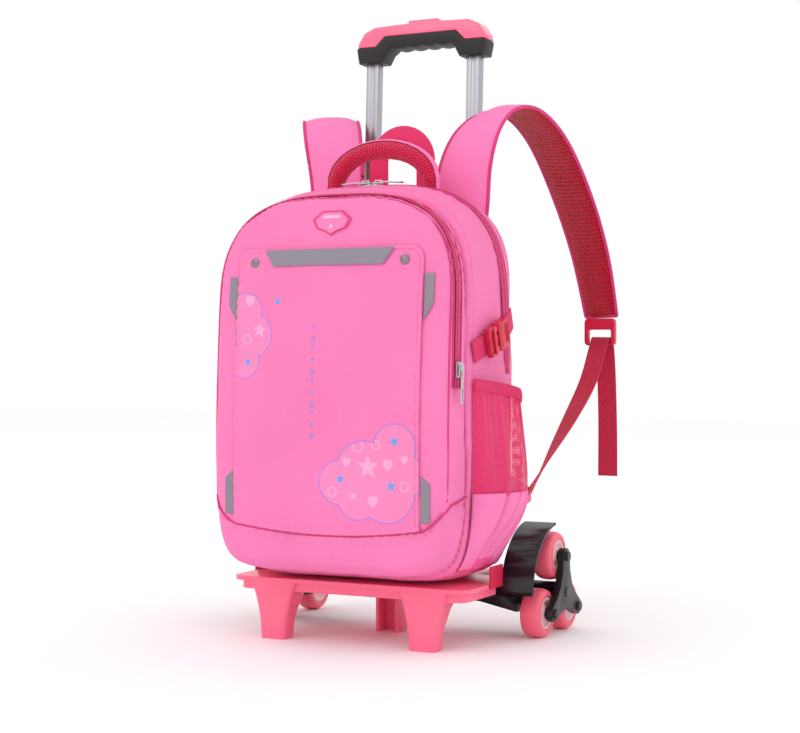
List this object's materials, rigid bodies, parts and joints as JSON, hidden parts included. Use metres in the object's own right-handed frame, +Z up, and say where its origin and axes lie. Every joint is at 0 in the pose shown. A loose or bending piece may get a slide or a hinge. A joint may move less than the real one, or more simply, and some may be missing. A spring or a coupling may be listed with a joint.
{
  "type": "wheeled backpack",
  "caption": "Child's soft school backpack strapped to a small trolley with a telescopic grip and stair-climbing wheel clusters.",
  "frame": {"origin": "centre of the footprint, on the floor", "axes": "+X to the wearer's right as the picture shows the front, front of the bag towards -Y, +Z up"},
  "size_m": [0.39, 0.4158, 0.7316],
  "materials": {
    "coral_plastic": "smooth moulded, slightly glossy",
    "black_plastic": "satin moulded",
    "pink_tyre": "satin polyurethane",
    "pale_hub": "moulded",
    "aluminium_pole": "satin anodised",
    "bag_cloth": "fine plain-woven polyester",
    "net": "open knitted net",
    "air_mesh": "spacer mesh with small holes",
    "webbing": "ribbed woven webbing",
    "zip_tape": "woven tape with coil teeth",
    "reflective": "grey reflective tape",
    "chrome_metal": "polished",
    "red_plastic": "moulded",
    "badge_rubber": "soft moulded"
  },
  "bodies": {
    "root": {"cart_base": "coral_plastic", "pole_bracket": "black_plastic", "wheel_bracket_right": "black_plastic", "wheel_bracket_left": "black_plastic", "outer_pole_right": "aluminium_pole", "outer_pole_left": "aluminium_pole", "bag_main": "bag_cloth", "front_pocket": "bag_cloth", "front_panel": "bag_cloth", "handle_cover": "bag_cloth", "pocket_base_right": "bag_cloth", "pocket_base_left": "bag_cloth", "shoulder_strap_right": "bag_cloth", "shoulder_strap_left": "bag_cloth", "mesh_pocket_right": "net", "mesh_pocket_left": "net", "handle_pad": "air_mesh", "hang_loop": "webbing", "strap_webbing_right": "webbing", "side_strap_right": "webbing", "tie_strap_right": "webbing", "strap_webbing_left": "webbing", "side_strap_left": "webbing", "tie_strap_left": "webbing", "main_zipper": "zip_tape", "front_zipper": "zip_tape", "reflector_top": "reflective", "reflector_upper_right": "reflective", "reflector_lower_right": "reflective", "reflector_upper_left": "reflective", "reflector_lower_left": "reflective", "front_slider": "chrome_metal", "main_slider_right": "chrome_metal", "main_slider_left": "chrome_metal", "rivet_right": "chrome_metal", "rivet_left": "chrome_metal", "side_buckle_right": "red_plastic", "side_buckle_left": "red_plastic", "strap_buckle_right": "red_plastic", "strap_buckle_left": "red_plastic", "badge": "badge_rubber"},
    "handle": {"inner_pole_right": "aluminium_pole", "inner_pole_left": "aluminium_pole", "grip_core": "black_plastic", "grip_cover": "coral_plastic"},
    "button": {"grip_button": "coral_plastic"},
    "cluster_right": {"star_right": "black_plastic"},
    "wheel_right_1": {"tyre_right_1": "pink_tyre", "hub_right_1": "pale_hub"},
    "wheel_right_2": {"tyre_right_2": "pink_tyre", "hub_right_2": "pale_hub"},
    "wheel_right_3": {"tyre_right_3": "pink_tyre", "hub_right_3": "pale_hub"},
    "cluster_left": {"star_left": "black_plastic"},
    "wheel_left_1": {"tyre_left_1": "pink_tyre", "hub_left_1": "pale_hub"},
    "wheel_left_2": {"tyre_left_2": "pink_tyre", "hub_left_2": "pale_hub"},
    "wheel_left_3": {"tyre_left_3": "pink_tyre", "hub_left_3": "pale_hub"}
  },
  "joints": [
    {"name": "handle_slide", "type": "slide", "parent": "root", "child": "handle", "axis": [0, 0.0471, 0.9989], "range_m": [-0.17, 0.2]},
    {"name": "button_press", "type": "slide", "parent": "handle", "child": "button", "axis": [0, -0.0471, -0.9989], "range_m": [0, 0.003], "stiffness_N_per_m": 300, "springref_m": -0.002},
    {"name": "cluster_right_spin", "type": "hinge", "parent": "root", "child": "cluster_right", "pos_m": [0.17, 0.02752, 0.049], "axis": [1, 0, 0], "continuous": true},
    {"name": "wheel_right_1_spin", "type": "hinge", "parent": "cluster_right", "child": "wheel_right_1", "pos_m": [0.17, 0.02752, 0.0905], "axis": [1, 0, 0], "continuous": true},
    {"name": "wheel_right_2_spin", "type": "hinge", "parent": "cluster_right", "child": "wheel_right_2", "pos_m": [0.17, -0.00842, 0.02825], "axis": [1, 0, 0], "continuous": true},
    {"name": "wheel_right_3_spin", "type": "hinge", "parent": "cluster_right", "child": "wheel_right_3", "pos_m": [0.17, 0.06346, 0.02825], "axis": [1, 0, 0], "continuous": true},
    {"name": "cluster_left_spin", "type": "hinge", "parent": "root", "child": "cluster_left", "pos_m": [-0.17, 0.02752, 0.049], "axis": [1, 0, 0], "continuous": true},
    {"name": "wheel_left_1_spin", "type": "hinge", "parent": "cluster_left", "child": "wheel_left_1", "pos_m": [-0.17, 0.02752, 0.0905], "axis": [1, 0, 0], "continuous": true},
    {"name": "wheel_left_2_spin", "type": "hinge", "parent": "cluster_left", "child": "wheel_left_2", "pos_m": [-0.17, -0.00842, 0.02825], "axis": [1, 0, 0], "continuous": true},
    {"name": "wheel_left_3_spin", "type": "hinge", "parent": "cluster_left", "child": "wheel_left_3", "pos_m": [-0.17, 0.06346, 0.02825], "axis": [1, 0, 0], "continuous": true}
  ]
}
